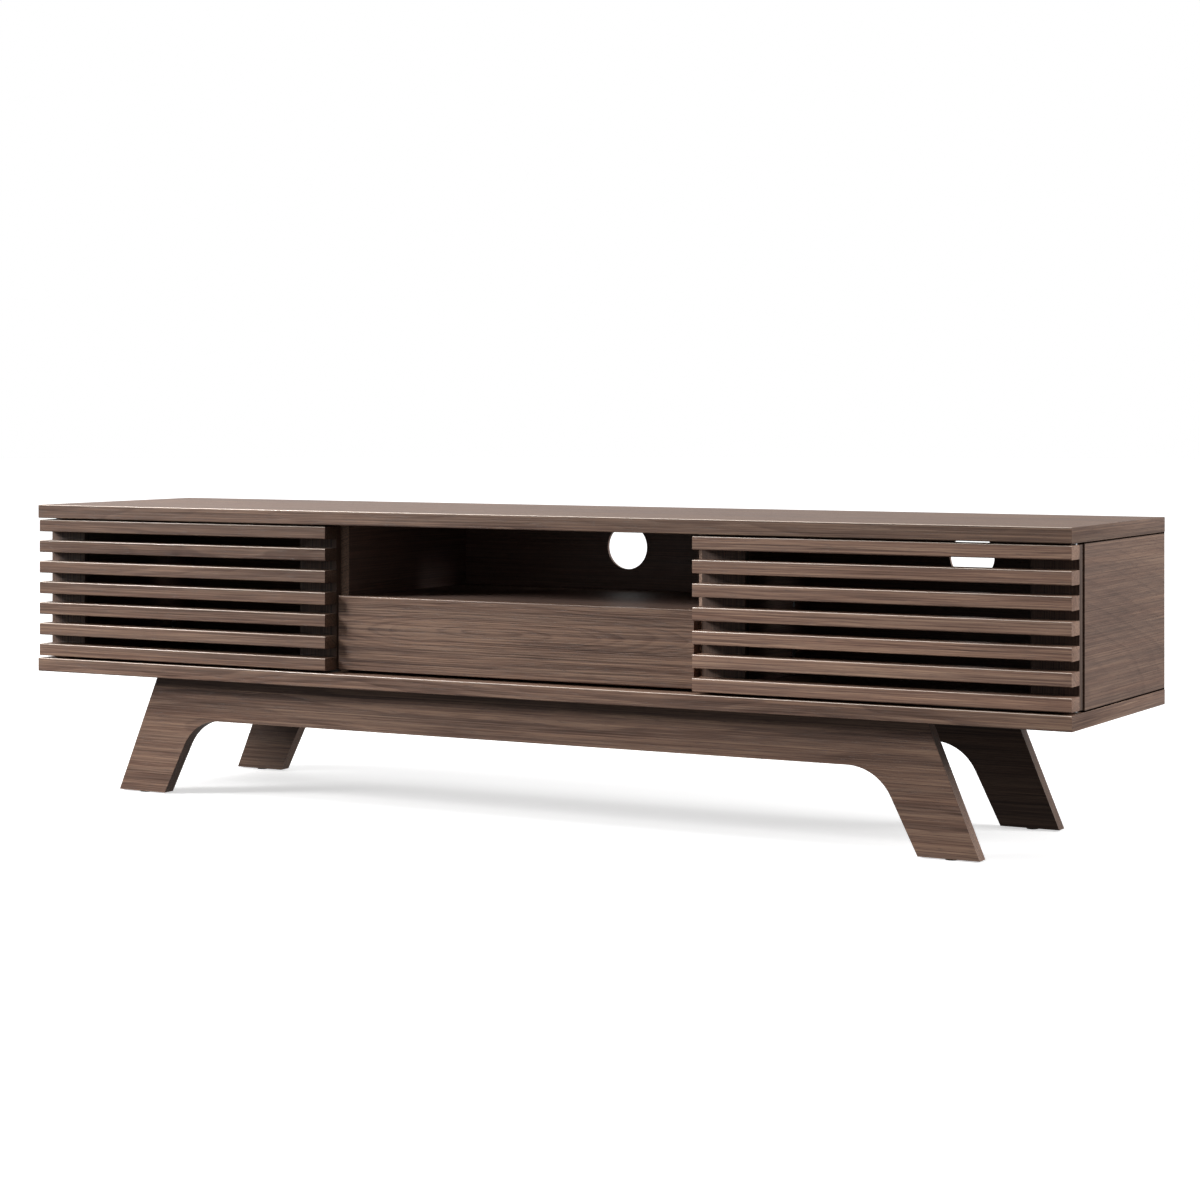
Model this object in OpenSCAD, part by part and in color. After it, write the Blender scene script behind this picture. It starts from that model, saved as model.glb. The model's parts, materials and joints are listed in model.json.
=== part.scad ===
// Low media cabinet: a long body on two splayed leg frames, with a slatted door at
// each end, an open bay in the middle and a drawer below it.
// Millimetres. The origin is on the floor under the middle of the cabinet,
// +X points to the right-hand end, +Y to the rear and +Z up.

/* [Overall size] */
// Length of the body, left to right
body_w = 1800; // [1700:10:1900]
// Depth of the body, front to rear
body_d = 410; // [405:1:450]
// Height of the body, without the leg frames
body_h = 277; // [277:1:300]
// Height of the leg frames, with their glides
leg_h = 193; // [160:1:210]

/* [Boards] */
// Thickness of the top and bottom panels
slab_t = 22; // [20:1:25]
// Thickness of the side panels, partitions and shelf
panel_t = 18; // [18:1:19]
// Thickness of the back panel
back_t = 6; // [4:1:8]
// Clear width of the open bay, between the partitions
bay_w = 620; // [600:1:640]
// Clear height of the open bay, above the shelf
bay_h = 114; // [108:1:120]
// Diameter of each cable hole in the back panel
cable_hole_d = 73; // [50:1:76]
// Drop from the cabinet's top to the middle of each cable hole
cable_hole_drop = 66; // [64:0.5:72]

/* [Doors] */
// Height of one slat
slat_h = 19.6; // [18:0.1:20]
// Clear gap between a door and the top panel
door_top_gap = 3; // [2.5:0.1:5]
// Depth of one slat, front to rear
slat_d = 32; // [28:1:32]
// Width of the upright boards behind the slats
stile_w = 70; // [60:1:80]
// Thickness of the upright boards behind the slats
stile_t = 12; // [12:0.5:13]

/* [Drawer] */
// Width of the drawer front
drawer_front_w = 627; // [624:1:630]
// Height of the drawer front
drawer_front_h = 116; // [112:1:116]
// Length of the drawer box, and of the runners it slides on
drawer_l = 300; // [240:5:300]

/* [Leg frames] */
// Height of the rail under the body
rail_h = 69; // [60:1:75]
// Thickness of each leg frame
frame_t = 22; // [20:1:25]
// Distance from the body's end to the outer edge of a leg at the floor
foot_inset = 145; // [130:1:160]
// Distance from the body's end to the outer edge of a leg at the top
shoulder_inset = 224; // [210:1:235]
// Width of a leg at the floor
foot_w = 92; // [80:1:100]
// Distance from the body's end to the corner between a leg and its rail
crotch_inset = 299; // [290:1:310]
// Radius of the rounded corner between a leg and its rail
crotch_r = 75; // [50:1:90]

/* [Hidden] */
$fn = 48;

slat_count = 7;

// Colours
walnut = "#6b5042";
dark_walnut = "#4c3a31";
drawer_ply = "#b59a77";
birch = "#c9a877";
zinc = "#b4b7ba";
black_plastic = "#2a2a2b";
white_nylon = "#dcdad2";

// How far a cut runs past a face, and the play round pieces that fit closely
cut = 0.5;
play = 0.1;
// The play of a screw in a steel part, and the radius of the rounded edges
steel_play = 0.5;
edge_r = 1.5;

// Levels
front = -body_d / 2;
rear = body_d / 2;
end_x = body_w / 2;
inner_z0 = leg_h + slab_t;
top_z = leg_h + body_h;
inner_z1 = top_z - slab_t;
inner_h = inner_z1 - inner_z0;

// Carcass
side_setback = 54;
side_front = front + side_setback;
side_inset = 0.5;
partition_setback = 50;
partition_front = front + partition_setback;
bay_x = bay_w / 2;
partition_mid_x = bay_x + panel_t / 2;
side_mid_x = end_x - side_inset - panel_t / 2;
back_setback = 10;
back_y = rear - back_setback;
rebate = 8;
shelf_z1 = inner_z1 - bay_h;
shelf_z0 = shelf_z1 - panel_t;
shelf_mid_z = shelf_z1 - panel_t / 2;
side_hole_x = body_w / 3;
cable_holes = [-side_hole_x, 0, side_hole_x];
cable_hole_z = top_z - cable_hole_drop;

// Carcass fittings: distances from the front of the body, and sizes
cam_depths = [90, 340];
dowel_depths = [130, 300];
cam_d = 15;
cam_l = 12.5;
cam_edge = 34;
cam_wall = 2;
cam_slot_w = 8;
cam_floor = 5;
cam_key_d = 3;
cam_key_l = 3;
bolt_d = 5;
bolt_neck_d = 5.6;
bolt_head_d = 6.6;
bolt_head_l = 4;
bolt_collar_l = 3;
bolt_root = 11;
dowel_d = 8;
dowel_slab = 10;
dowel_panel = 20;
shelf_screw_depths = [90, 340];
shelf_dowel_depth = 215;
shelf_screw_l = 50;
shelf_screw_d = 5;
shelf_screw_head = 9;
back_screw_d = 3;
back_screw_l = 22;
back_screw_head = 6;
back_screw_rows = [30, 116, 203];

// Doors
door_bottom_gap = 4;
door_z0 = inner_z0 + door_bottom_gap;
door_z1 = inner_z1 - door_top_gap;
door_h = door_z1 - door_z0;
slat_gap = (door_h - slat_count * slat_h) / (slat_count - 1);
slat_setback = 2;
slat_y0 = front + slat_setback;
stile_y0 = slat_y0 + slat_d;
stile_y1 = stile_y0 + stile_t;
door_inset = 1;
door_end_x = end_x - door_inset;
door_w = 576;
pivot_inset = 10;
pivot_x = door_end_x - pivot_inset;
pivot_y = stile_y0 + stile_t / 2;
pin_d = 6;
pin_stile = 25;
pin_slab = 9;
collar_d = 10;
bush_d = 12;
bush_l = 11;
bush_flange_d = 16;
bush_flange_t = 1;
slat_screw_d = 4;
slat_screw_l = 32;
slat_screw_head = 8;
magnet_inset = 545;
magnet_x = end_x - magnet_inset;
magnet_size = [50, 14, 20];
magnet_gap = 1;
magnet_peg_d = 5;
magnet_peg_l = 8;
strike_size = [36, 1.5, 12];
magnet_y = stile_y1 + strike_size[1] + magnet_gap + magnet_size[1] / 2;
magnet_z = inner_z1 - magnet_size[2] / 2;

// Drawer
drawer_setback = 26;
drawer_front_y = front + drawer_setback;
drawer_front_t = 22;
drawer_front_gap = 5;
drawer_front_z = inner_z0 + drawer_front_gap;
box_y0 = drawer_front_y + drawer_front_t;
box_y1 = box_y0 + drawer_l;
box_t = 12;
runner_space = 12.7;
box_x = bay_x - runner_space;
box_gap = 12;
box_z0 = inner_z0 + box_gap;
box_h = 80;
bottom_t = 6;
bottom_rise = 8;
bottom_z = box_z0 + bottom_rise;
groove = 6;
groove_play = 0.2;
box_screw_rows = [52, 70];
front_screw_rows = [26, 66];
front_screw_xs = [-200, 200];
front_screw_l = 28;
front_screw_head_t = 2.4;

// Runners: nested channels of pressed steel, all of one length. The outer one is
// on the cabinet, the inner one on the drawer.
runner_setback = 2;
runner_y0 = partition_front + runner_setback;
runner_rise = 40;
runner_z = inner_z0 + runner_rise;
runner_t = 1.2;
outer_runner_h = 45;
outer_runner_w = 11;
middle_runner_h = 39;
middle_runner_w = 6.2;
middle_runner_gap = 4.8;
middle_runner_x = bay_x - middle_runner_gap;
inner_runner_h = 30;
inner_runner_w = 5.5;
runner_screw_d = 4;
runner_screw_head = 7;
runner_screw_head_t = 1.6;
cabinet_screw_l = 13;
drawer_screw_l = 10;
cabinet_screw_depths = [for (part = [0.25, 0.5, 0.75]) part * drawer_l];
drawer_screw_depths = [for (part = [0.15, 0.5, 0.85]) part * drawer_l];

// Leg frames
glide_t = 2;
glide_d = 18;
glide_peg_d = 5;
glide_peg_l = 10;
foot_x = end_x - foot_inset;
shoulder_x = end_x - shoulder_inset;
rail_z = leg_h - rail_h;
crotch_x = end_x - crotch_inset;
splay = atan((foot_x - foot_w - crotch_x) / rail_z);
crotch_t = crotch_r / tan((90 + splay) / 2);
front_frame_setback = 33;
rear_frame_setback = 30;
front_frame_y = front + front_frame_setback;
rear_frame_y = rear - rear_frame_setback - frame_t;
bracket_l = 30;
bracket_w = 40;
bracket_t = 2;
bracket_hole = 18;
bracket_xs = [-560, -190, 190, 560];
bracket_screw_d = 4;
bracket_screw_l = 18;
bracket_screw_head = 8;
bracket_screw_head_t = 2.4;

// ---- Shapes that repeat ----

// A box from its lowest corner to its highest
module block(low, high) {
    translate(low) cube(high - low);
}

// A straight bar along X whose four long edges are rounded
module rounded_bar(x0, x1, y0, y1, z0, z1) {
    depth = y1 - y0;
    height = z1 - z0;
    translate([x0, y0, z0])
        rotate([90, 0, 90])
            linear_extrude(height = x1 - x0) {
                translate([edge_r, 0]) square([depth - 2 * edge_r, height]);
                translate([0, edge_r]) square([depth, height - 2 * edge_r]);
                for (y = [edge_r, depth - edge_r], z = [edge_r, height - edge_r])
                    translate([y, z]) circle(r = edge_r);
            }
}

// Screws point along +Z, with the underside of the head, or its flush face, at z = 0
module pan_screw(d, length, head_d, head_t) {
    cylinder(d = d, h = length);
    translate([0, 0, -head_t]) cylinder(d = head_d, h = head_t);
}

module flush_screw(d, length, head_d) {
    cylinder(d = d, h = length);
    cylinder(d1 = head_d, d2 = d, h = (head_d - d) / 2);
}

// The hole that a flush screw sits in
module flush_bore(d, length, head_d) {
    translate([0, 0, -cut]) cylinder(d = d + 2 * play, h = length + 2 * cut);
    cylinder(d1 = head_d + 2 * play, d2 = d + 2 * play, h = (head_d - d) / 2);
    translate([0, 0, -cut]) cylinder(d = head_d + 2 * play, h = cut);
}

// Turn a piece that points along +Z so that it points along another axis
module along_x(side) { rotate([0, 90 * side, 0]) children(); }
module along_y(side) { rotate([-90 * side, 0, 0]) children(); }

// Stand children at each joint between an upright panel and a slab, pointing
// from the slab into the panel
module at_panel_joints(x, depths) {
    for (depth = depths) {
        translate([x, front + depth, inner_z0]) children();
        translate([x, front + depth, inner_z1]) mirror([0, 0, 1]) children();
    }
}

// ---- Carcass fittings ----

module cam_bolt() {
    translate([0, 0, -bolt_root]) cylinder(d = bolt_d, h = bolt_root + cut);
    cylinder(d = bolt_neck_d, h = cam_edge);
    translate([0, 0, cam_edge - bolt_head_l / 2]) cylinder(d = bolt_head_d, h = bolt_head_l);
    cylinder(d = bolt_head_d, h = bolt_collar_l);
}

// side points from the middle of the panel to the face that the cam is set in
module cam_lock(side) {
    face = side * panel_t / 2;
    difference() {
        translate([face, 0, cam_edge]) along_x(-side) cylinder(d = cam_d, h = cam_l);
        translate([face - side * (cam_l + cam_floor) / 2, 0, cam_edge - cam_wall])
            cube([cam_l - cam_floor + cut, cam_slot_w, cam_d - cam_wall], center = true);
        translate([face + side * cut, 0, cam_edge])
            along_x(-side) cylinder(d = cam_key_d, h = cam_key_l, $fn = 6);
    }
}

module cam_bores(side) {
    translate([0, 0, -cut]) cylinder(d = cam_slot_w, h = cam_edge);
    translate([side * (panel_t / 2 + cut), 0, cam_edge])
        along_x(-side) cylinder(d = cam_d + 2 * play, h = cam_l + cut + play);
}

module dowel() {
    translate([0, 0, -dowel_slab]) cylinder(d = dowel_d, h = dowel_slab + dowel_panel);
}

module dowel_bore() {
    translate([0, 0, -dowel_slab - cut])
        cylinder(d = dowel_d + 2 * play, h = dowel_slab + dowel_panel + 2 * cut);
}

module panel_bores(x, side) {
    at_panel_joints(x, cam_depths) cam_bores(side);
    at_panel_joints(x, dowel_depths) dowel_bore();
}

module slab_joint_bores() {
    for (x = [-side_mid_x, -partition_mid_x, partition_mid_x, side_mid_x]) {
        at_panel_joints(x, cam_depths)
            translate([0, 0, -bolt_root - play])
                cylinder(d = bolt_d + 2 * play, h = bolt_root + play + cut);
        at_panel_joints(x, dowel_depths) dowel_bore();
    }
}

// Places of the door pivots, pointing from the middle of the door into the slabs
module at_pivots(side) {
    translate([side * pivot_x, pivot_y, inner_z1]) children();
    translate([side * pivot_x, pivot_y, inner_z0]) mirror([0, 0, 1]) children();
}

module bush_bores() {
    for (side = [-1, 1])
        at_pivots(side) translate([0, 0, -cut]) cylinder(d = bush_d + play, h = bush_l + cut + play);
}

// Places of the leg brackets, which stand on the faces that the two rails turn to each other
module at_brackets() {
    for (x = bracket_xs) {
        translate([x, front_frame_y + frame_t, leg_h]) children();
        translate([x, rear_frame_y, leg_h]) mirror([0, 1, 0]) children();
    }
}

module bracket_screw_places(extra) {
    translate([0, bracket_hole, -bracket_t - extra]) children();
    translate([0, bracket_t + extra, -bracket_hole]) rotate([90, 0, 0]) children();
}

module bracket_bores() {
    at_brackets() bracket_screw_places(0)
        cylinder(d = bracket_screw_d + 2 * play, h = bracket_screw_l + play);
}

// ---- Carcass ----

module top_panel() {
    color(walnut) difference() {
        rounded_bar(-end_x, end_x, front, rear, inner_z1, top_z);
        slab_joint_bores();
        bush_bores();
        for (side = [-1, 1])
            translate([side * magnet_x, magnet_y, inner_z1 - cut])
                cylinder(d = magnet_peg_d + 2 * play, h = magnet_peg_l + play + cut);
    }
}

module bottom_panel() {
    color(walnut) difference() {
        rounded_bar(-end_x, end_x, front, rear, leg_h, inner_z0);
        slab_joint_bores();
        bush_bores();
        bracket_bores();
    }
}

module side_panel(side) {
    color(walnut) difference() {
        translate([side * side_mid_x - panel_t / 2, side_front, inner_z0])
            cube([panel_t, rear - side_front, inner_h]);
        translate([side * (end_x - panel_t) - rebate, back_y, inner_z0 - cut])
            cube([2 * rebate, rear - back_y + cut, inner_h + 2 * cut]);
        panel_bores(side * side_mid_x, -side);
        back_screw_places() flush_bore(back_screw_d, back_screw_l, back_screw_head);
    }
}

module partition(side) {
    color(dark_walnut) difference() {
        translate([side * partition_mid_x - panel_t / 2, partition_front, inner_z0])
            cube([panel_t, back_y - partition_front, inner_h]);
        panel_bores(side * partition_mid_x, side);
        shelf_screw_places() flush_bore(shelf_screw_d, shelf_screw_l, shelf_screw_head);
        shelf_dowel_places() dowel_bore();
        back_screw_places() flush_bore(back_screw_d, back_screw_l, back_screw_head);
        cabinet_screw_places(side) cylinder(d = runner_screw_d + 2 * play, h = cabinet_screw_l + cut);
    }
}

module left_side_panel() { side_panel(-1); }
module right_side_panel() { side_panel(1); }
module left_partition() { partition(-1); }
module right_partition() { partition(1); }

module cubby_shelf() {
    color(dark_walnut) difference() {
        block([-bay_x, partition_front, shelf_z0], [bay_x, back_y, shelf_z1]);
        shelf_screw_places() flush_bore(shelf_screw_d, shelf_screw_l, shelf_screw_head);
        shelf_dowel_places() dowel_bore();
    }
}

module shelf_screw_places() {
    for (side = [-1, 1], depth = shelf_screw_depths)
        translate([side * (bay_x + panel_t), front + depth, shelf_mid_z]) along_x(-side) children();
}

// The dowels reach further into the shelf than into the partition
module shelf_dowel_places() {
    for (side = [-1, 1])
        translate([side * bay_x, front + shelf_dowel_depth, shelf_mid_z]) along_x(-side) children();
}

module back_panel() {
    back_x = end_x - panel_t + rebate - cut;
    color(dark_walnut) difference() {
        block([-back_x, back_y, inner_z0 + cut], [back_x, back_y + back_t, inner_z1 - cut]);
        for (x = cable_holes)
            translate([x, back_y - cut, cable_hole_z])
                along_y(1) cylinder(d = cable_hole_d, h = back_t + 2 * cut, $fn = 96);
        back_screw_places() flush_bore(back_screw_d, back_screw_l, back_screw_head);
    }
}

module back_screw_places() {
    ledge_x = end_x - panel_t + rebate / 2;
    for (x = [-ledge_x, -partition_mid_x, partition_mid_x, ledge_x], row = back_screw_rows)
        translate([x, back_y + back_t, inner_z0 + row]) along_y(-1) children();
}

// ---- Leg frames ----

module arch() {
    low_z = -10;
    foot_in = crotch_x + (rail_z - low_z) * tan(splay);
    for (side = [-1, 1]) {
        polygon([
            [0, low_z],
            [side * foot_in, low_z],
            [side * (crotch_x + crotch_t * sin(splay)), rail_z - crotch_t * cos(splay)],
            [side * (crotch_x - crotch_t), rail_z],
            [0, rail_z]
        ]);
        translate([side * (crotch_x - crotch_t), rail_z - crotch_r]) circle(r = crotch_r, $fn = 96);
    }
}

module leg_frame(y) {
    color(walnut) difference() {
        translate([0, y + frame_t, 0]) rotate([90, 0, 0]) linear_extrude(height = frame_t) difference() {
            polygon([
                [-foot_x, glide_t],
                [foot_x, glide_t],
                [shoulder_x, leg_h],
                [-shoulder_x, leg_h]
            ]);
            arch();
        }
        bracket_bores();
        at_feet() translate([0, 0, -cut])
            cylinder(d = glide_peg_d + 2 * play, h = glide_peg_l + cut + play);
    }
}

module front_leg_frame() { leg_frame(front_frame_y); }
module rear_leg_frame() { leg_frame(rear_frame_y); }

module at_feet() {
    for (side = [-1, 1], y = [front_frame_y, rear_frame_y])
        translate([side * (foot_x - foot_w / 2), y + frame_t / 2, glide_t]) children();
}

module foot_glides() {
    color(black_plastic) at_feet() {
        translate([0, 0, -glide_t]) cylinder(d = glide_d, h = glide_t);
        cylinder(d = glide_peg_d, h = glide_peg_l);
    }
}

module leg_brackets() {
    color(zinc) at_brackets() difference() {
        translate([-bracket_w / 2, 0, -bracket_l]) difference() {
            cube([bracket_w, bracket_l, bracket_l]);
            translate([-cut, bracket_t, -cut])
                cube([bracket_w + 2 * cut, bracket_l, bracket_l - bracket_t + cut]);
        }
        bracket_screw_places(cut) cylinder(d = bracket_screw_d + steel_play, h = bracket_t + 2 * cut);
    }
}

module bracket_screws() {
    color(zinc) at_brackets() bracket_screw_places(0)
        pan_screw(bracket_screw_d, bracket_screw_l, bracket_screw_head, bracket_screw_head_t);
}

// ---- Fittings of the carcass ----

module cam_locks() {
    color(zinc) for (side = [-1, 1]) {
        at_panel_joints(side * side_mid_x, cam_depths) cam_lock(-side);
        at_panel_joints(side * partition_mid_x, cam_depths) cam_lock(side);
    }
}

module cam_bolts() {
    color(zinc) for (side = [-1, 1], x = [side_mid_x, partition_mid_x])
        at_panel_joints(side * x, cam_depths) cam_bolt();
}

module wooden_dowels() {
    color(birch) {
        for (side = [-1, 1], x = [side_mid_x, partition_mid_x])
            at_panel_joints(side * x, dowel_depths) dowel();
        shelf_dowel_places() dowel();
    }
}

module shelf_screws() {
    color(zinc) shelf_screw_places() flush_screw(shelf_screw_d, shelf_screw_l, shelf_screw_head);
}

module back_panel_screws() {
    color(zinc) back_screw_places() flush_screw(back_screw_d, back_screw_l, back_screw_head);
}

module pivot_bushes() {
    color(white_nylon) for (side = [-1, 1]) at_pivots(side) difference() {
        union() {
            cylinder(d = bush_d, h = bush_l);
            translate([0, 0, -bush_flange_t]) cylinder(d = bush_flange_d, h = bush_flange_t);
        }
        translate([0, 0, -bush_flange_t - cut])
            cylinder(d = pin_d + play, h = bush_l + bush_flange_t + 2 * cut);
    }
}

// Each magnet hangs from the top panel behind a door's inner stile, on a pressed-in peg
module door_magnets() {
    color(black_plastic) for (side = [-1, 1]) {
        translate([side * magnet_x, magnet_y, magnet_z]) cube(magnet_size, center = true);
        translate([side * magnet_x, magnet_y, inner_z1 - cut])
            cylinder(d = magnet_peg_d, h = magnet_peg_l + cut);
    }
}

// ---- Runners ----

// A channel with its web at x = 0 and its flanges reaching towards +X times side
module channel(side, width, height) {
    difference() {
        translate([side > 0 ? 0 : -width, runner_y0, runner_z - height / 2])
            cube([width, drawer_l, height]);
        translate([side > 0 ? runner_t : -width - cut, runner_y0 - cut, runner_z - height / 2 + runner_t])
            cube([width - runner_t + cut, drawer_l + 2 * cut, height - 2 * runner_t]);
    }
}

module cabinet_runner(side) {
    color(zinc) difference() {
        translate([side * bay_x, 0, 0]) channel(-side, outer_runner_w, outer_runner_h);
        cabinet_screw_places(side) translate([0, 0, -cut])
            cylinder(d = runner_screw_d + steel_play, h = runner_t + 2 * cut);
    }
}

module middle_runner(side) {
    color(zinc) translate([side * middle_runner_x, 0, 0])
        channel(-side, middle_runner_w, middle_runner_h);
}

module drawer_runner(side) {
    color(zinc) difference() {
        translate([side * box_x, 0, 0]) channel(side, inner_runner_w, inner_runner_h);
        drawer_screw_places(side) translate([0, 0, -cut])
            cylinder(d = runner_screw_d + steel_play, h = runner_t + 2 * cut);
    }
}

module left_cabinet_runner() { cabinet_runner(-1); }
module right_cabinet_runner() { cabinet_runner(1); }
module left_middle_runner() { middle_runner(-1); }
module right_middle_runner() { middle_runner(1); }
module left_drawer_runner() { drawer_runner(-1); }
module right_drawer_runner() { drawer_runner(1); }

// Both rows of screws start at the face of the steel that their heads press on
module cabinet_screw_places(side) {
    for (depth = cabinet_screw_depths)
        translate([side * (bay_x - runner_t), runner_y0 + depth, runner_z]) along_x(side) children();
}

module drawer_screw_places(side) {
    for (depth = drawer_screw_depths)
        translate([side * (box_x + runner_t), runner_y0 + depth, runner_z]) along_x(-side) children();
}

module cabinet_runner_screws() {
    color(zinc) for (side = [-1, 1]) cabinet_screw_places(side)
        pan_screw(runner_screw_d, cabinet_screw_l, runner_screw_head, runner_screw_head_t);
}

module drawer_runner_screws() {
    color(zinc) for (side = [-1, 1]) drawer_screw_places(side)
        pan_screw(runner_screw_d, drawer_screw_l, runner_screw_head, runner_screw_head_t);
}

// ---- Drawer ----

module drawer_front() {
    color(walnut) difference() {
        rounded_bar(-drawer_front_w / 2, drawer_front_w / 2, drawer_front_y, box_y0,
            drawer_front_z, drawer_front_z + drawer_front_h);
        front_screw_places() cylinder(d = slat_screw_d + 2 * play, h = front_screw_l + cut);
    }
}

module drawer_inner_front() {
    color(drawer_ply) difference() {
        block([box_t - box_x, box_y0, box_z0], [box_x - box_t, box_y0 + box_t, box_z0 + box_h]);
        bottom_groove();
        front_screw_places() translate([0, 0, -cut])
            cylinder(d = slat_screw_d + 2 * play, h = box_t + 2 * cut);
        box_screw_places() flush_bore(slat_screw_d, slat_screw_l, slat_screw_head);
    }
}

module drawer_back() {
    color(drawer_ply) difference() {
        block([box_t - box_x, box_y1 - box_t, box_z0], [box_x - box_t, box_y1, box_z0 + box_h]);
        bottom_groove();
        box_screw_places() flush_bore(slat_screw_d, slat_screw_l, slat_screw_head);
    }
}

module drawer_side(side) {
    low_x = side > 0 ? box_x - box_t : -box_x;
    color(drawer_ply) difference() {
        block([low_x, box_y0, box_z0], [low_x + box_t, box_y1, box_z0 + box_h]);
        bottom_groove();
        box_screw_places() flush_bore(slat_screw_d, slat_screw_l, slat_screw_head);
        drawer_screw_places(side) cylinder(d = runner_screw_d + 2 * play, h = drawer_screw_l + cut);
    }
}

module drawer_left_side() { drawer_side(-1); }
module drawer_right_side() { drawer_side(1); }

module bottom_outline(inset, z0, z1) {
    reach = box_t - groove + inset;
    block([reach - box_x, box_y0 + reach, z0], [box_x - reach, box_y1 - reach, z1]);
}

module bottom_groove() {
    bottom_outline(0, bottom_z - play, bottom_z + bottom_t + play);
}

module drawer_bottom() {
    color(drawer_ply) bottom_outline(groove_play, bottom_z, bottom_z + bottom_t);
}

module front_screw_places() {
    for (x = front_screw_xs, row = front_screw_rows)
        translate([x, box_y0 + box_t, box_z0 + row]) along_y(-1) children();
}

module box_screw_places() {
    for (side = [-1, 1], y = [box_y0 + box_t / 2, box_y1 - box_t / 2], row = box_screw_rows)
        translate([side * box_x, y, box_z0 + row]) along_x(-side) children();
}

module drawer_screws() {
    color(zinc) {
        front_screw_places()
            pan_screw(slat_screw_d, front_screw_l, slat_screw_head, front_screw_head_t);
        box_screw_places() flush_screw(slat_screw_d, slat_screw_l, slat_screw_head);
    }
}

// ---- Doors ----

function slat_z(n) = door_z1 - n * slat_h - (n - 1) * slat_gap;

// Slats are counted from the top
module door_slat(side, n) {
    outer = side * door_end_x;
    inner = side * (door_end_x - door_w);
    color(walnut) difference() {
        rounded_bar(min(outer, inner), max(outer, inner), slat_y0, stile_y0, slat_z(n), slat_z(n) + slat_h);
        slat_screw_places(side) flush_bore(slat_screw_d, slat_screw_l, slat_screw_head);
    }
}

module slat_screw_places(side) {
    outer = door_end_x - stile_w / 2;
    for (x = [outer, outer - door_w + stile_w], n = [1 : slat_count])
        translate([side * x, stile_y1, slat_z(n) + slat_h / 2]) along_y(-1) children();
}

module stile_board(side, x_mid) {
    difference() {
        translate([side * x_mid - stile_w / 2, stile_y0, door_z0]) cube([stile_w, stile_t, door_h]);
        slat_screw_places(side) flush_bore(slat_screw_d, slat_screw_l, slat_screw_head);
    }
}

// Places of the pins' ends in the outer stile, pointing into the slabs
module at_pin_ends(side) {
    translate([side * pivot_x, pivot_y, door_z1]) children(0);
    translate([side * pivot_x, pivot_y, door_z0]) mirror([0, 0, 1]) children(1);
}

module pin_bore() {
    translate([0, 0, -pin_stile - cut]) cylinder(d = pin_d + 2 * play, h = pin_stile + 2 * cut);
}

module outer_stile(side) {
    color(walnut) difference() {
        stile_board(side, door_end_x - stile_w / 2);
        at_pin_ends(side) {
            pin_bore();
            pin_bore();
        }
    }
}

module inner_stile(side) {
    color(walnut) stile_board(side, door_end_x - door_w + stile_w / 2);
}

module pivot_pin(gap) {
    translate([0, 0, -pin_stile]) cylinder(d = pin_d, h = pin_stile + gap + pin_slab);
    cylinder(d = collar_d, h = gap - bush_flange_t - play);
}

module pivot_pins(side) {
    color(zinc) at_pin_ends(side) {
        pivot_pin(door_top_gap);
        pivot_pin(door_bottom_gap);
    }
}

module strike_plate(side) {
    color(zinc) translate([side * magnet_x, stile_y1 + strike_size[1] / 2, magnet_z])
        cube(strike_size, center = true);
}

module slat_screws(side) {
    color(zinc) slat_screw_places(side) flush_screw(slat_screw_d, slat_screw_l, slat_screw_head);
}

module left_outer_stile() { outer_stile(-1); }
module right_outer_stile() { outer_stile(1); }
module left_inner_stile() { inner_stile(-1); }
module right_inner_stile() { inner_stile(1); }
module left_pivot_pins() { pivot_pins(-1); }
module right_pivot_pins() { pivot_pins(1); }
module left_strike_plate() { strike_plate(-1); }
module right_strike_plate() { strike_plate(1); }
module left_slat_screws() { slat_screws(-1); }
module right_slat_screws() { slat_screws(1); }

// ---- Drawing ----

top_panel();
bottom_panel();
left_side_panel();
right_side_panel();
left_partition();
right_partition();
cubby_shelf();
back_panel();
front_leg_frame();
rear_leg_frame();
leg_brackets();
bracket_screws();
foot_glides();
cam_locks();
cam_bolts();
wooden_dowels();
shelf_screws();
back_panel_screws();
pivot_bushes();
door_magnets();
left_cabinet_runner();
right_cabinet_runner();
cabinet_runner_screws();
left_middle_runner();
right_middle_runner();
left_drawer_runner();
right_drawer_runner();
drawer_runner_screws();
drawer_front();
drawer_inner_front();
drawer_back();
drawer_bottom();
drawer_left_side();
drawer_right_side();
drawer_screws();
left_outer_stile();
left_inner_stile();
left_pivot_pins();
left_strike_plate();
left_slat_screws();
right_outer_stile();
right_inner_stile();
right_pivot_pins();
right_strike_plate();
right_slat_screws();
for (n = [1 : slat_count]) {
    door_slat(-1, n);
    door_slat(1, n);
}
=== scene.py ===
"""The looks of a low walnut media cabinet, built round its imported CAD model. Metres."""

import json
import math

import bpy
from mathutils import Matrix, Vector


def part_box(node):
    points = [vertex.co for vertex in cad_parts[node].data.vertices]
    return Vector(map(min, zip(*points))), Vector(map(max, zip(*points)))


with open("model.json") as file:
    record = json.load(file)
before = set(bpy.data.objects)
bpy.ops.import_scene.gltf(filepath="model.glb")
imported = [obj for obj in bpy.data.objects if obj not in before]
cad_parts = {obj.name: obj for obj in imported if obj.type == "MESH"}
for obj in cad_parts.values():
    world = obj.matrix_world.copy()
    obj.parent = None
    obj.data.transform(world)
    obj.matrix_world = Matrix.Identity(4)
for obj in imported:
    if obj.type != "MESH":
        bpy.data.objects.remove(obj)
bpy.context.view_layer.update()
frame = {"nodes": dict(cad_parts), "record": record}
nodes = frame["nodes"]
scene = bpy.context.scene

WHITE = (1.0, 1.0, 1.0, 1.0)


# ---------------------------------------------------------------- camera

CAMERA_PLACE = (2.151, -3.771, 0.632)
# In degrees
CAMERA_YAW = 29.04
# In millimetres
SENSOR = 36.0
LENS = 82.74
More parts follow.
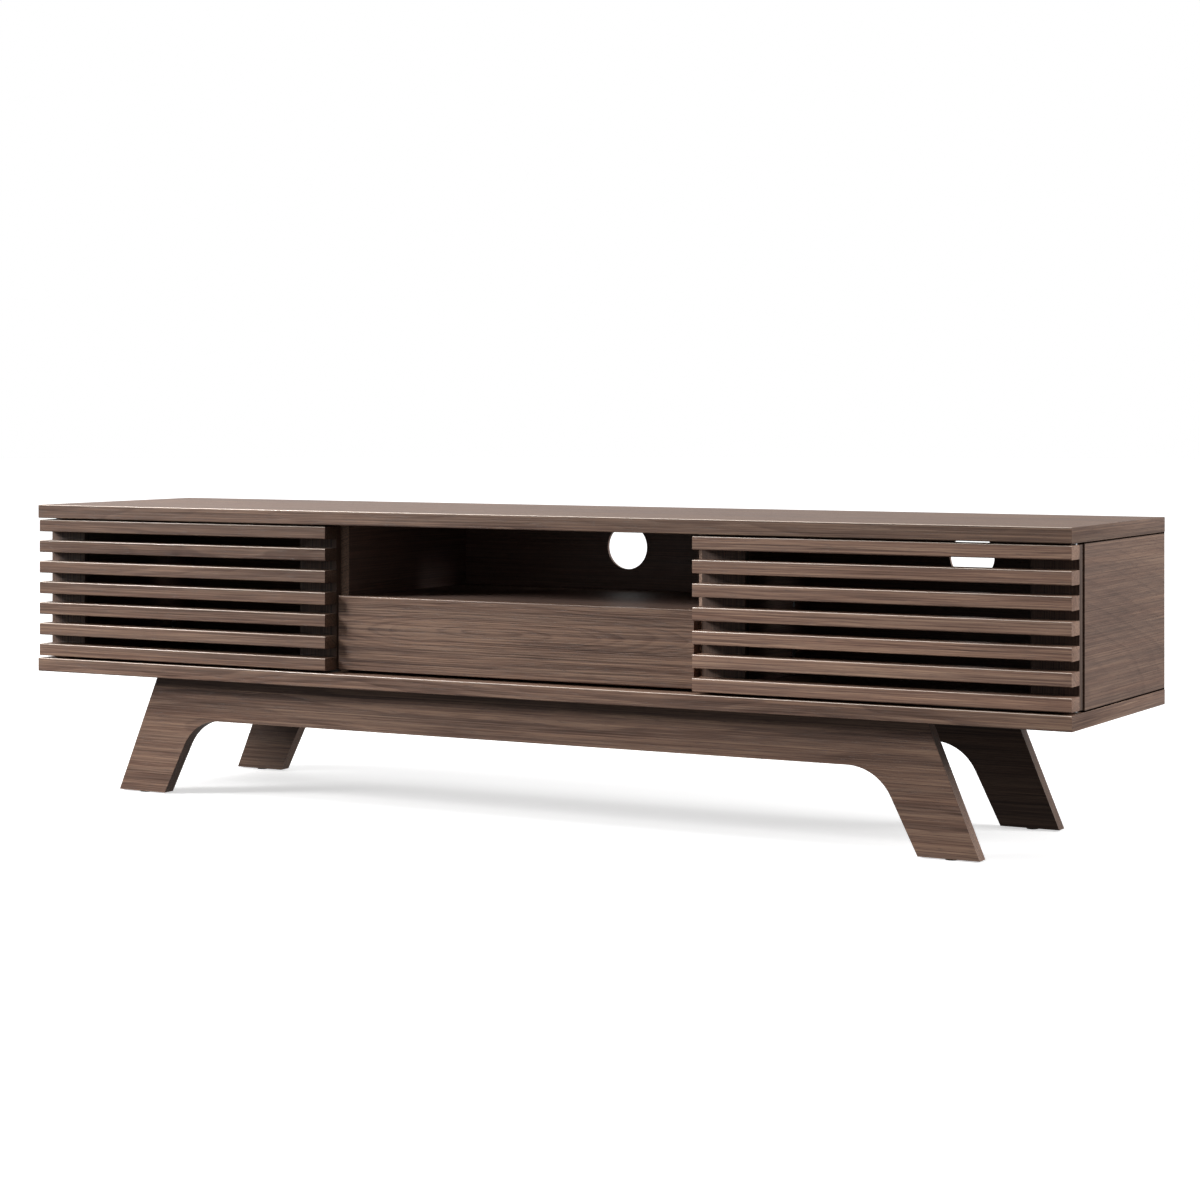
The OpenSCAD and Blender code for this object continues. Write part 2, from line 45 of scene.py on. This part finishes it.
# In frame widths
FRAME_SHIFT = -0.1604

FAR_CLIP = 100.0


def make_camera():
    """A level camera in front of the right-hand end, framed by a small downward shift."""
    data = bpy.data.cameras.new("camera")
    data.sensor_width = SENSOR
    data.lens = LENS
    data.shift_y = FRAME_SHIFT
    data.clip_end = FAR_CLIP
    camera = bpy.data.objects.new("camera", data)
    camera.location = CAMERA_PLACE
    camera.rotation_euler = (math.radians(90), 0, math.radians(CAMERA_YAW))
    scene.collection.objects.link(camera)
    scene.camera = camera


# ---------------------------------------------------------------- node trees

class Tree:
    """Adds nodes to one node tree and links them."""

    def __init__(self, tree):
        self.tree = tree

    def add(self, kind, **settings):
        node = self.tree.nodes.new(kind)
        for key, value in settings.items():
            setattr(node, key, value)
        return node

    def put(self, socket, value):
        """Links a socket, or sets a constant."""
        if isinstance(value, bpy.types.NodeSocket):
            self.tree.links.new(value, socket)
        else:
            socket.default_value = value

    def filled(self, kind, *values, **settings):
        """A new node whose first inputs take the values."""
        node = self.add(kind, **settings)
        for socket, value in zip(node.inputs, values):
            self.put(socket, value)
        return node

    def math(self, operation, *values, clamp=False):
        return self.filled("ShaderNodeMath", *values, operation=operation, use_clamp=clamp).outputs[0]

    def vector(self, operation, *values):
        return self.filled("ShaderNodeVectorMath", *values, operation=operation).outputs[0]

    def length(self, vector):
        return self.filled("ShaderNodeVectorMath", vector, operation="LENGTH").outputs["Value"]

    def split(self, vector):
        return self.filled("ShaderNodeSeparateXYZ", vector).outputs

    def join(self, x, y, z):
        return self.filled("ShaderNodeCombineXYZ", x, y, z).outputs[0]

    def total(self, *terms):
        """The sum of (weight, value) pairs."""
        parts = [self.math("MULTIPLY", value, weight) for weight, value in terms]
        result = parts[0]
        for part in parts[1:]:
            result = self.math("ADD", result, part)
        return result

    def distance(self, x, y, centre):
        """How far the point x, y is from a fixed centre."""
        squares = [self.math("POWER", self.math("SUBTRACT", value, middle), 2.0)
                   for value, middle in zip((x, y), centre)]
        return self.math("SQRT", self.math("ADD", *squares))

    def eased(self, value, start, stop, low, high):
        """Goes smoothly from low to high while value goes from start to stop."""
        node = self.add("ShaderNodeMapRange", interpolation_type="SMOOTHSTEP")
        self.put(node.inputs["Value"], value)
        for name, number in zip(("From Min", "From Max", "To Min", "To Max"), (start, stop, low, high)):
            node.inputs[name].default_value = number
        return node.outputs["Result"]


class Shade(Tree):
    """One material and its surface."""

    def __init__(self, name):
        self.material = bpy.data.materials.new(name)
        self.material.use_nodes = True
        super().__init__(self.material.node_tree)
        self.tree.nodes.clear()
        coords = self.add("ShaderNodeTexCoord")
        self.place = coords.outputs["Object"]
        self.facing = coords.outputs["Normal"]
        surface = self.add("ShaderNodeBsdfPrincipled")
        self.inputs = surface.inputs
        output = self.add("ShaderNodeOutputMaterial")
        self.tree.links.new(surface.outputs["BSDF"], output.inputs["Surface"])

    def noise(self, vector, stretch, detail=2.0, roughness=0.5):
        node = self.add("ShaderNodeTexNoise")
        self.put(node.inputs["Vector"], self.vector("MULTIPLY", vector, stretch))
        node.inputs["Scale"].default_value = 1.0
        node.inputs["Detail"].default_value = detail
        node.inputs["Roughness"].default_value = roughness
        return node.outputs

    def swing(self, *settings):
        """Noise that swings round zero."""
        return self.math("SUBTRACT", self.noise(*settings)["Fac"], 0.5)

    def specks(self, vector, stretch, detail, sharpness):
        """The peaks of a noise, from zero to one."""
        peaks = self.math("SUBTRACT", self.noise(vector, stretch, detail)["Fac"], SPECK_LEVEL)
        return self.math("MULTIPLY", peaks, sharpness, clamp=True)

    def ramp(self, factor, stops):
        node = self.add("ShaderNodeValToRGB")
        ramp = node.color_ramp
        while len(ramp.elements) < len(stops):
            ramp.elements.new(0.5)
        for element, (position, colour) in zip(ramp.elements, stops):
            element.position = position
            element.color = (*colour, 1.0)
        self.put(node.inputs["Fac"], factor)
        return node.outputs["Color"]

    def mix(self, factor, first, second, blend="MIX"):
        node = self.add("ShaderNodeMix", data_type="RGBA", blend_type=blend)
        self.put(node.inputs["Factor"], factor)
        for name, colour in (("A", first), ("B", second)):
            if not isinstance(colour, bpy.types.NodeSocket):
                colour = (*colour, 1.0)
            self.put(node.inputs[name], colour)
        return node.outputs["Result"]

    def bump(self, height, distance):
        node = self.add("ShaderNodeBump")
        node.inputs["Distance"].default_value = distance
        self.put(node.inputs["Height"], height)
        self.put(self.inputs["Normal"], node.outputs["Normal"])


# ---------------------------------------------------------------- wood

# Repeats of each noise in a metre: along the fibres, across them and into the board
SWAY = (1.6, 7.0, 7.0)
MOTTLE = (2.5, 14.0, 14.0)
BLUSH = (1.5, 70.0, 70.0)
STREAK = (2.5, 480.0, 480.0)
FLECK = (7.0, 420.0, 420.0)
FIBRE = (12.0, 900.0, 900.0)
PORE = (45.0, 1300.0, 1300.0)

# The height from which a noise shows as a speck, and how strongly flecks and pores show
SPECK_LEVEL = 0.6
FLECK_STRENGTH = 0.4
PORE_STRENGTH = 0.5

# How far the rings wander sideways, and how unevenly wide they are
SWAY_WIDTH = 0.03
RHYTHM_SCALE = 0.3
RHYTHM_SWING = 2.5

# Rounds the rings' bend at the knot, in square metres
KNOT_ROUNDING = 0.0001

# One ring's latewood, from its inside to its outside, and the faintest ring's share of the darkest's
RING_PROFILE = ((0.0, 0.0), (0.4, 0.15), (0.88, 1.0), (1.0, 0.0))
FAINTEST_RING = 0.2

# How much the patterns change the wood's lightness, and how much light the rings take on average
MOTTLE_WEIGHT = 0.45
FIBRE_WEIGHT = 0.6
RINGS_LOSS = 0.4

# Where a palette's three colours lie in lightness, and how sharply redder fibres stand out
PALETTE_STOPS = (0.05, 0.5, 0.95)
RED_CONTRAST = 3.0

# A face counts as a board's front or end when its normal's part that way is at least this
FACING = 0.8

# A seam's painted shadow is dark for SEAM_CORE times SEAM_FADE, and fades out over one more SEAM_FADE
SEAM_FADE = 0.001
SEAM_CORE = 2.0
# The painted shadow's colour, as a share of the palette's darkest colour
SEAM_SHADE_TONE = 0.12

# An edge is painted pale, as wear and a painted highlight, where its normal's longest part is under
# ROUNDED, and more so where it faces up, where the painted highlight lies
ROUNDED = 0.94
RUB_AND_HIGHLIGHT_RATE = 9.0
RUB_LEVEL = 0.2
UPWARD_HIGHLIGHT = 1.6
RUB_AND_HIGHLIGHT_UNEVEN = 1.2

# The lacquer's reflection, the tint of redder fibres, the colour of pale edges, wear with a painted
# highlight, and the pores' depth
SPECULAR = 0.5
LACQUER_IOR = 1.45
RED_TINT = (1.04, 0.97, 0.94)
PALE_EDGE_AND_HIGHLIGHT = (0.80, 0.70, 0.60)
WOOD_RELIEF = 0.0001

# Palettes, from dark to light
WALNUT = ((0.062, 0.036, 0.027), (0.158, 0.097, 0.072), (0.310, 0.202, 0.142))
# The front band is paler than walnut, as painted light on the inside boards' front edges
LIT_BAND = ((0.200, 0.130, 0.100), (0.420, 0.275, 0.205), (0.660, 0.460, 0.340))
INSIDE = ((0.140, 0.092, 0.078), (0.205, 0.136, 0.112), (0.290, 0.196, 0.158))
PLY = ((0.36, 0.25, 0.15), (0.52, 0.39, 0.25), (0.62, 0.49, 0.34))
BEECH = ((0.42, 0.27, 0.16), (0.58, 0.40, 0.26), (0.66, 0.49, 0.34))


def fibre_axes(shade, grain, banded_ends):
    """The cabinet's axes as along, across and into a board whose fibres run along grain."""
    x, y, z = shade.split(shade.place)
    along, across, deep = {"X": (x, y, z), "Y": (y, z, x), "Z": (z, x, y)}[grain]
    if banded_ends:
        end = shade.math("GREATER_THAN", shade.math("ABSOLUTE", shade.split(shade.facing)[0]), FACING)
        board = shade.math("SUBTRACT", 1.0, end)
        along, across = (shade.total((board, along), (end, across)),
                         shade.total((board, across), (end, along)))
    return along, across, deep


def latewood(shade, place, seed, pith, bow, knot, ring):
    """The dark part of the growth rings, from zero to one."""
    wander = shade.vector("SUBTRACT", shade.noise(place, SWAY, 4.0)["Color"], (0.5, 0.5, 0.5))
    sway = shade.split(wander)
    along, across, deep = shade.split(place)
    from_knot = shade.math("POWER", shade.math("SUBTRACT", along, knot + seed[0]), 2.0)
    from_knot = shade.math("SQRT", shade.math("ADD", KNOT_ROUNDING, from_knot))
    across = shade.total((1.0, across), (SWAY_WIDTH, sway[0]), (bow[0], from_knot))
    deep = shade.total((1.0, deep), (SWAY_WIDTH, sway[1]), (bow[1], from_knot))
    rings = shade.math("DIVIDE", shade.distance(across, deep, pith), ring)
    rhythm = shade.add("ShaderNodeTexNoise", noise_dimensions="1D")
    rhythm.inputs["Scale"].default_value = RHYTHM_SCALE
    shade.put(rhythm.inputs["W"], rings)
    rings = shade.math("ADD", rings, shade.math("MULTIPLY", rhythm.outputs["Fac"], RHYTHM_SWING))
    year = shade.add("ShaderNodeTexWhiteNoise", noise_dimensions="1D")
    shade.put(year.inputs["W"], shade.math("FLOOR", rings))
    strength = shade.math("MULTIPLY", year.outputs["Value"], 1.0 - FAINTEST_RING)
    strength = shade.math("ADD", strength, FAINTEST_RING)
    season = shade.ramp(shade.math("FRACT", rings), [(stop, (dark,) * 3) for stop, dark in RING_PROFILE])
    return shade.math("MULTIPLY", season, strength)


def clear_of_seam_shade(shade, heights):
    """Zero in the painted shadow of the seams along a panel's lower and upper edges, and one elsewhere.
    """
    low, high = heights
    z = shade.split(shade.place)[2]
    gap = shade.math("MINIMUM", shade.math("SUBTRACT", z, low), shade.math("SUBTRACT", high, z))
    return shade.math("SUBTRACT", shade.math("DIVIDE", gap, SEAM_FADE), SEAM_CORE, clamp=True)


def rubbed_and_highlit_edges(shade, blush):
    """How far the rounded edges along the cabinet are painted pale, as wear and as a painted highlight
    that is stronger on edges that face up, from zero to one.
    """
    facing = shade.split(shade.facing)
    face = shade.math("ABSOLUTE", facing[1])
    profile = shade.math("SUBTRACT", 1.0, shade.math("POWER", face, 2.0), clamp=True)
    profile = shade.math("SQRT", profile)
    rounding = shade.math("SUBTRACT", ROUNDED, shade.math("MAXIMUM", face, profile))
    rounding = shade.math("MULTIPLY", rounding, RUB_AND_HIGHLIGHT_RATE, clamp=True)
    upward = shade.math("ADD", RUB_LEVEL, shade.math("MULTIPLY", facing[2], UPWARD_HIGHLIGHT), clamp=True)
    uneven = shade.math("ADD", 1.0, shade.math("MULTIPLY", blush, RUB_AND_HIGHLIGHT_UNEVEN), clamp=True)
    return shade.math("MULTIPLY", shade.math("MULTIPLY", rounding, upward), uneven)


def wood(name, grain, colours, seed=(0, 0, 0), pith=(0.05, 0.16), bow=(0.01, 0.01), knot=0.0,
         ring=0.0042, figure=0.4, streaks=1.5, roughness=0.36, tone=1.0, edge_wear_and_highlight=0.0,
         banded_ends=False, painted_light_front_band=None, seams=None):
    """Lacquered wood whose fibres run along one axis of the cabinet.

    The rings, ring metres wide, go round a pith that lies beside the board at pith, and
    bends away on both sides of knot by bow metres a metre, which draws the long ovals and
    arches of flat-sawn wood. figure is how dark the latewood is, and streaks how strong the
    fibres are. colours goes from dark to light and is multiplied by tone. edge_wear_and_highlight
    is how far the rounded edges are painted pale, as wear and as a painted highlight on
    edges that face up. banded_ends turns the grain upright on the board's ends, painted_light_front_band
    is the palette of the veneer band on its front edge, which paints light onto it, and
    seams are the heights where it meets a slab, which take a painted shadow.
    """
    shade = Shade(name)
    place = shade.vector("ADD", shade.join(*fibre_axes(shade, grain, banded_ends)), seed)
    mottle = shade.swing(place, MOTTLE, 3.0)
    blush = shade.swing(place, BLUSH, 3.0, 0.6)
    streak = shade.swing(place, STREAK, 3.0, 0.6)
    fibre = shade.swing(place, FIBRE, 2.0, 0.6)
    flecks = shade.specks(place, FLECK, 2.0, 6.0)
    pores = shade.specks(place, PORE, 1.0, 8.0)
    rings = latewood(shade, place, seed, pith, bow, knot, ring)

    lightness = shade.math("ADD", 0.5 + RINGS_LOSS * figure, shade.total(
        (MOTTLE_WEIGHT, mottle), (streaks, streak), (FIBRE_WEIGHT * streaks, fibre), (-figure, rings)))
    dark, middle, light = (tuple(tone * c for c in colour) for colour in colours)
    colour = shade.ramp(lightness, tuple(zip(PALETTE_STOPS, (dark, middle, light))))
    colour = shade.mix(shade.math("MULTIPLY", flecks, FLECK_STRENGTH), colour, light)
    colour = shade.mix(shade.math("MULTIPLY", pores, PORE_STRENGTH), colour, dark)
    redness = shade.math("ADD", 0.5, shade.math("MULTIPLY", blush, RED_CONTRAST), clamp=True)
    colour = shade.mix(redness, colour, RED_TINT, blend="MULTIPLY")
    # Front faces take the paler band palette, painted light on the veneer band
    if painted_light_front_band:
        front = shade.math("LESS_THAN", shade.split(shade.facing)[1], -FACING)
        colour = shade.mix(front, colour, shade.ramp(lightness, tuple(zip(PALETTE_STOPS, painted_light_front_band))))
    # A painted shadow darkens and dulls the seams where a panel meets a slab
    if seams:
        clear = clear_of_seam_shade(shade, seams)
        colour = shade.mix(clear, tuple(SEAM_SHADE_TONE * c for c in dark), colour)
        shade.put(shade.inputs["Specular IOR Level"], shade.math("MULTIPLY", clear, SPECULAR))
    dullness = [(0.16, fibre), (0.14, pores), (0.1, mottle)]
    # Wear and a painted highlight on edges that face up make the rounded edges paler
    if edge_wear_and_highlight:
        edge_paling = rubbed_and_highlit_edges(shade, blush)
        colour = shade.mix(shade.math("MULTIPLY", edge_paling, edge_wear_and_highlight), colour, PALE_EDGE_AND_HIGHLIGHT)
        dullness.append((-0.1, edge_paling))
    shade.put(shade.inputs["Base Color"], colour)
    shade.put(shade.inputs["Roughness"], shade.math("ADD", roughness, shade.total(*dullness)))
    shade.inputs["IOR"].default_value = LACQUER_IOR
    shade.bump(shade.total((0.5, fibre), (-0.9, pores), (0.3, streak)), WOOD_RELIEF)
    return shade.material


# ---------------------------------------------------------------- metal and plastic

CLOUD = (35.0, 35.0, 35.0)
PLASTIC_CLOUD = (40.0, 40.0, 40.0)
PLASTIC_GRAIN = (2400.0, 2400.0, 2400.0)
EVEN_SCRATCHES = (500.0, 500.0, 500.0)
DRAWN_SCRATCHES = (900.0, 12.0, 900.0)
STEEL_RELIEF = 0.00003
PLASTIC_RELIEF = 0.00004


def steel(name, colour, roughness, scratches):
    """Zinc-plated steel, duller in clouds, with fine scratches."""
    shade = Shade(name)
    scratch = shade.swing(shade.place, scratches, 3.0, 0.6)
    cloud = shade.swing(shade.place, CLOUD, 3.0)
    dull = tuple(0.72 * c for c in colour)
    dulled = shade.math("ADD", 0.4, shade.total((0.8, cloud), (0.4, scratch)), clamp=True)
    shade.put(shade.inputs["Base Color"], shade.mix(dulled, colour, dull))
    shade.inputs["Metallic"].default_value = 1.0
    uneven = shade.total((0.25, scratch), (0.2, cloud))
    shade.put(shade.inputs["Roughness"], shade.math("ADD", roughness, uneven))
    shade.bump(scratch, STEEL_RELIEF)
    return shade.material


def plastic(name, colour, roughness):
    """Moulded plastic with a fine even texture."""
    shade = Shade(name)
    grainy = shade.swing(shade.place, PLASTIC_GRAIN, 1.0)
    cloud = shade.swing(shade.place, PLASTIC_CLOUD, 3.0)
    lighter = tuple(min(1.0, 1.5 * c + 0.01) for c in colour)
    scuffed = shade.math("ADD", 0.3, cloud, clamp=True)
    shade.put(shade.inputs["Base Color"], shade.mix(scuffed, colour, lighter))
    uneven = shade.total((0.15, cloud), (0.1, grainy))
    shade.put(shade.inputs["Roughness"], shade.math("ADD", roughness, uneven))
    shade.bump(grainy, PLASTIC_RELIEF)
    return shade.material


# ---------------------------------------------------------------- finishes

SLATS = range(1, 8)

# Each door's place in the tree, the slats' tone, the step that it takes at each slat down as painted
# light that brightens the lower slats, and the stiles' tone, darkened as painted shade behind the slats
DOOR_LOOKS = {"left": (0.0, 0.71, 0.045, 0.58), "right": (4.0, 1.34, 0.035, 0.48)}

# How far one slat lies from the next in the tree, and the pith from each slat
SLAT_STEP = (0.83, 0.21, 0.17)
SLAT_PITH = (-0.1, 0.4)


def body_finishes():
    """The materials of the body, the legs and the drawer's front."""
    slab = dict(grain="X", colours=WALNUT, bow=(0.01, 0.02), edge_wear_and_highlight=0.9, banded_ends=True)
    low, high = (corner[2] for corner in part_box("right_side_panel"))
    # The side panels take a painted shadow along the seams where they meet the slabs
    end = dict(grain="Y", colours=WALNUT, bow=(0.12, 0.12), knot=-0.6, ring=0.011, figure=0.12,
               streaks=1.0, seams=(low, high))
    legs = dict(grain="X", colours=WALNUT, edge_wear_and_highlight=0.35)
    inside = dict(colours=INSIDE, painted_light_front_band=LIT_BAND, roughness=0.5)
    return {
        "top_panel": wood("walnut_top", **slab, tone=0.86, pith=(0.08, 0.52)),
        # The bottom slab's higher tone is painted light from below
        "bottom_panel": wood("walnut_bottom", **slab, tone=1.1, seed=(3.1, 0.4, 1.7), pith=(0.4, 1.95)),
        "left_side_panel": wood("walnut_left_side", **end, seed=(2.0, 0.3, 0.1), pith=(0.6, -0.85)),
        "right_side_panel": wood("walnut_right_side", **end, pith=(0.3, 0.85)),
        # The front leg frame's tone is raised as painted light and the rear one's lowered as painted
        # shade
        "front_leg_frame": wood("walnut_front_legs", **legs, tone=1.2, seed=(1.3, 0.2, 0.5),
                                pith=(0.25, 0.62)),
        "rear_leg_frame": wood("walnut_rear_legs", **legs, tone=0.7, seed=(5.3, 0.9, 0.1),
                               pith=(0.95, 0.2)),
        "drawer_front": wood("walnut_drawer_front", "X", WALNUT, pith=(-0.174, 0.292), bow=(0.09, 0.01),
                             knot=-0.05, ring=0.0036, figure=0.3, streaks=2.3, tone=0.95, edge_wear_and_highlight=0.25),
        "left_partition": wood("inside_left_partition", "Y", **inside, seed=(1.0, 0.3, 0.2)),
        "right_partition": wood("inside_right_partition", "Y", **inside, seed=(7.0, 0.1, 0.4)),
        "cubby_shelf": wood("inside_shelf", "X", **inside, seed=(4.0, 0.2, 0.6)),
        "back_panel": wood("inside_back", "X", INSIDE, seed=(2.0, 0.5, 0.9)),
    }


def door_finishes(side):
    """The materials of one door's slats and stiles, each cut from another part of the tree."""
    shift, tone, painted_light_step, stile_shade_tone = DOOR_LOOKS[side]
    finishes = {}
    # Lower slats step lighter as painted light from below, and the stiles are darkened as painted shade
    # behind the slats
    for n in SLATS:
        along, across, deep = (step * n for step in SLAT_STEP)
        finishes[f"{side}_slat_{n}"] = wood(
            f"walnut_{side}_slat_{n}", "X", WALNUT, seed=(shift + along, across, deep),
            pith=(across + SLAT_PITH[0], deep + SLAT_PITH[1]), figure=0.3,
            tone=tone + painted_light_step * n, edge_wear_and_highlight=0.9)
    for row, board in enumerate(("outer_stile", "inner_stile")):
        finishes[f"{side}_{board}"] = wood(
            f"walnut_{side}_{board}", "Z", WALNUT, seed=(shift, 0.4 * row, 0.3), pith=(0.3, 0.4),
            streaks=0.6, roughness=0.45, tone=stile_shade_tone)
    return finishes


def finish_nodes():
    """Gives every CAD node its own material, or else its material slot's."""
    ply = dict(colours=PLY, figure=0.12, ring=0.009, roughness=0.5)
    ply_sides = wood("plywood_sides", "Y", **ply)
    finishes = {
        **body_finishes(),
        **door_finishes("left"),
        **door_finishes("right"),
        "drawer_left_side": ply_sides,
        "drawer_right_side": ply_sides,
        "pivot_bushes": plastic("brown_nylon", (0.06, 0.042, 0.034), 0.45),
    }
    by_slot = {
        "drawer_plywood": wood("plywood", "X", **ply),
        "beech_dowel": wood("beech", "Z", BEECH, figure=0.1, roughness=0.6),
        "zinc_steel": steel("zinc", (0.62, 0.63, 0.65), 0.34, EVEN_SCRATCHES),
        "runner_steel": steel("runner_strip", (0.56, 0.57, 0.59), 0.3, DRAWN_SCRATCHES),
        "black_plastic": plastic("black_plastic", (0.02, 0.02, 0.021), 0.5),
    }
    for part in frame["record"]["subparts"]:
        name = part["node"]
        mesh = nodes[name].data
        mesh.materials.clear()
        mesh.materials.append(finishes.get(name) or by_slot[part["material_slot"]])


# ---------------------------------------------------------------- edges

# The width of the broken edge in each wooden slot
EDGE_WIDTHS = {"walnut": 0.0009, "walnut_inside": 0.0006, "drawer_plywood": 0.0006}
WELD_REACH = 0.00001

# In degrees between neighbouring faces
FLAT_WITHIN = 0.5
SHARP_FROM = 40


def ease_edges():
    """Breaks the sharp edges of every board, as sanding does."""
    for part in frame["record"]["subparts"]:
        width = EDGE_WIDTHS.get(part["material_slot"])
        if width is None:
            continue
        board = nodes[part["node"]]
        weld = board.modifiers.new("weld", "WELD")
        weld.merge_threshold = WELD_REACH
        flat = board.modifiers.new("flat", "DECIMATE")
        flat.decimate_type = "DISSOLVE"
        flat.angle_limit = math.radians(FLAT_WITHIN)
        flat.delimit = {"NORMAL"}
        bevel = board.modifiers.new("edges", "BEVEL")
        bevel.width = width
        bevel.segments = 2
        bevel.limit_method = "ANGLE"
        bevel.angle_limit = math.radians(SHARP_FROM)
        bevel.harden_normals = True


# ---------------------------------------------------------------- stage

FLOOR_REACH = 30.0
FLOOR_CORNERS = 64

# How strongly the floor glows up to NEAR metres from its middle, and from FAR metres on
NEAR = 1.2
FAR = 5.0
NEAR_GLOW = 0.58
FAR_GLOW = 1.0


def floor_paint():
    """Pale paint that glows more away from the cabinet, so that the floor's far edge is white."""
    shade = Shade("floor_paint")
    cloud = shade.swing(shade.place, (3.0, 3.0, 3.0), 3.0)
    clouded = shade.math("ADD", 0.5, cloud, clamp=True)
    shade.put(shade.inputs["Base Color"], shade.mix(clouded, (0.80, 0.80, 0.80), (0.84, 0.84, 0.84)))
    shade.inputs["Roughness"].default_value = 0.7
    shade.inputs["Emission Color"].default_value = WHITE
    glow = shade.eased(shade.length(shade.place), NEAR, FAR, NEAR_GLOW, FAR_GLOW)
    shade.put(shade.inputs["Emission Strength"], glow)
    return shade.material


def make_floor():
    """A plain round floor, which the cabinet neither reflects nor takes light from."""
    angles = [math.tau * i / FLOOR_CORNERS for i in range(FLOOR_CORNERS)]
    rim = [(FLOOR_REACH * math.cos(a), FLOOR_REACH * math.sin(a), 0.0) for a in angles]
    mesh = bpy.data.meshes.new("floor")
    mesh.from_pydata(rim, [], [list(range(FLOOR_CORNERS))])
    mesh.materials.append(floor_paint())
    floor = bpy.data.objects.new("floor", mesh)
    scene.collection.objects.link(floor)
    floor.visible_diffuse = False
    floor.visible_glossy = False


def make_surround():
    """White where the camera sees it, with graded walls for the light on the cabinet.

    The walls are brighter behind the cabinet, above the floor and on the left, and a faint
    glow lies overhead.
    """
    world = bpy.data.worlds.new("surround")
    world.use_nodes = True
    sky = Tree(world.node_tree)
    x, y, z = sky.split(sky.add("ShaderNodeTexCoord").outputs["Generated"])
    walls = sky.math("MULTIPLY", sky.eased(y, -0.3, 0.6, 0.21, 0.54), sky.eased(z, -0.25, 0.1, 0.6, 1.0))
    walls = sky.math("MULTIPLY", walls, sky.eased(x, -0.7, -0.2, 1.1, 0.6))
    glow = sky.math("ADD", walls, sky.eased(z, 0.4, 0.9, 0.0, 0.12))
    seen = sky.add("ShaderNodeLightPath").outputs["Is Camera Ray"]
    background = world.node_tree.nodes["Background"]
    sky.put(background.inputs["Strength"], sky.math("MAXIMUM", glow, seen))
    background.inputs["Color"].default_value = WHITE
    scene.world = world
    scene.view_settings.view_transform = "Standard"


def softbox(name, place, target, size, power):
    """A rectangular lamp at place that faces target."""
    data = bpy.data.lights.new(name, "AREA")
    data.shape = "RECTANGLE"
    data.size, data.size_y = size
    data.energy = power
    lamp = bpy.data.objects.new(name, data)
    lamp.location = place
    lamp.rotation_euler = (Vector(target) - Vector(place)).to_track_quat("-Z", "Y").to_euler()
    scene.collection.objects.link(lamp)


def make_stage():
    """The floor, the white surround and four soft lights."""
    make_floor()
    make_surround()
    softbox("key", (-4.6, -3.8, 2.95), (0.0, 0.0, 0.25), (1.4, 2.0), 335.0)
    softbox("side", (3.2, 0.9, 1.5), (0.9, 0.0, 0.3), (1.5, 1.5), 80.0)
    softbox("overhead_left", (-2.4, -0.7, 2.2), (-0.9, -0.2, 0.4), (1.4, 0.9), 74.0)
    softbox("overhead_right", (-0.15, -0.7, 2.4), (0.5, -0.2, 0.4), (1.1, 0.9), 21.0)


make_camera()
finish_nodes()
ease_edges()
make_stage()
